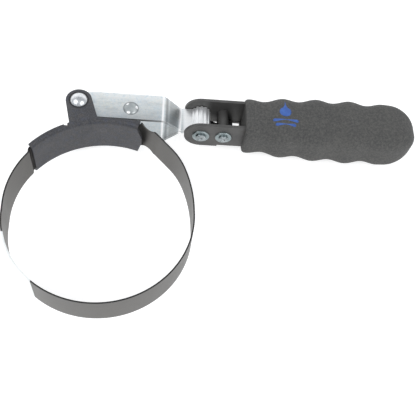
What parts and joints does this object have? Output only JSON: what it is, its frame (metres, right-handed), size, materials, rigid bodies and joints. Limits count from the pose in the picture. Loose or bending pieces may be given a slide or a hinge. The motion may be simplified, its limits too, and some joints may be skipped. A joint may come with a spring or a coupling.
{
  "type": "oil filter wrench",
  "caption": "Strap wrench for spin-on oil filters: a steel strap loop on a pressed saddle, tightened by a pivoting hairpin lever with a swivelling waved hand grip.",
  "frame": {"origin": "centre of the strap loop's round part, at the middle of the strap's width", "axes": "+Z along the filter's axis, out of the loop; +X from the loop toward the grip; +Y from the loop toward the lever"},
  "size_m": [0.2272, 0.1268, 0.0306],
  "materials": {
    "strap_steel": "satin",
    "saddle_black": "satin",
    "channel_black": "satin",
    "zinc_plate": "satin",
    "rivet_steel": "satin",
    "weld_steel": "satin",
    "spring_steel": "satin",
    "grip_rubber": "matte",
    "label_film": "satin"
  },
  "bodies": {
    "saddle": {"saddle": "saddle_black", "band_fixed_end": "strap_steel", "weld_spots": "weld_steel", "pivot_rivet": "rivet_steel", "pivot_sleeve": "rivet_steel"},
    "lever": {"lever_strap": "zinc_plate", "band_pin": "rivet_steel"},
    "handle": {"handle_channel": "channel_black", "swivel_rivet": "rivet_steel", "swivel_washers": "rivet_steel", "stop_rivet": "rivet_steel", "stop_washers": "rivet_steel", "stop_sleeve": "zinc_plate", "detent_spring": "spring_steel", "spring_rivet": "rivet_steel", "grip": "grip_rubber"},
    "strap_1": {"band_stretch_1": "strap_steel"},
    "strap_2": {"band_stretch_2": "strap_steel", "band_label": "label_film"},
    "strap_3": {"band_stretch_3": "strap_steel"},
    "strap_4": {"band_stretch_4": "strap_steel"},
    "strap_5": {"band_stretch_5": "strap_steel"},
    "strap_end": {"band_pull_end": "strap_steel"}
  },
  "joints": [
    {"name": "lever_pivot", "type": "hinge", "parent": "saddle", "child": "lever", "pos_m": [-0.0143, 0.0684, 0], "axis": [0, 0, 1], "range_deg": [0, 18]},
    {"name": "handle_swivel", "type": "hinge", "parent": "lever", "child": "handle", "pos_m": [0.05404, 0.06541, 0], "axis": [0.0349, 0.9994, 0], "range_deg": [-90, 90]},
    {"name": "strap_flex_1", "type": "hinge", "parent": "saddle", "child": "strap_1", "pos_m": [-0.03939, 0.03342, 0], "axis": [0, 0, 1], "range_deg": [0, 4.32]},
    {"name": "strap_flex_2", "type": "hinge", "parent": "strap_1", "child": "strap_2", "pos_m": [-0.04762, -0.0084, 0], "axis": [0, 0, 1], "range_deg": [0, 2.29]},
    {"name": "strap_flex_3", "type": "hinge", "parent": "strap_2", "child": "strap_3", "pos_m": [-0.02417, -0.04187, 0], "axis": [0, 0, 1], "range_deg": [0, 0.884]},
    {"name": "strap_flex_4", "type": "hinge", "parent": "strap_3", "child": "strap_4", "pos_m": [0.02043, -0.04382, 0], "axis": [0, 0, 1], "range_deg": [-2.38, 0]},
    {"name": "strap_flex_5", "type": "hinge", "parent": "strap_4", "child": "strap_5", "pos_m": [0.04711, -0.01088, 0], "axis": [0, 0, 1], "range_deg": [-1.26, 0]},
    {"name": "strap_flex_6", "type": "hinge", "parent": "strap_5", "child": "strap_end", "pos_m": [0.02848, 0.04909, 0], "axis": [0, 0, 1], "range_deg": [-3.62, 0]}
  ],
  "couplings": [
    {"joint": "strap_flex_1", "follows": "lever_pivot", "ratio": 0.239},
    {"joint": "strap_flex_2", "follows": "lever_pivot", "ratio": 0.126},
    {"joint": "strap_flex_3", "follows": "lever_pivot", "ratio": 0.048},
    {"joint": "strap_flex_4", "follows": "lever_pivot", "ratio": -0.131},
    {"joint": "strap_flex_5", "follows": "lever_pivot", "ratio": -0.069},
    {"joint": "strap_flex_6", "follows": "lever_pivot", "ratio": -0.2}
  ]
}
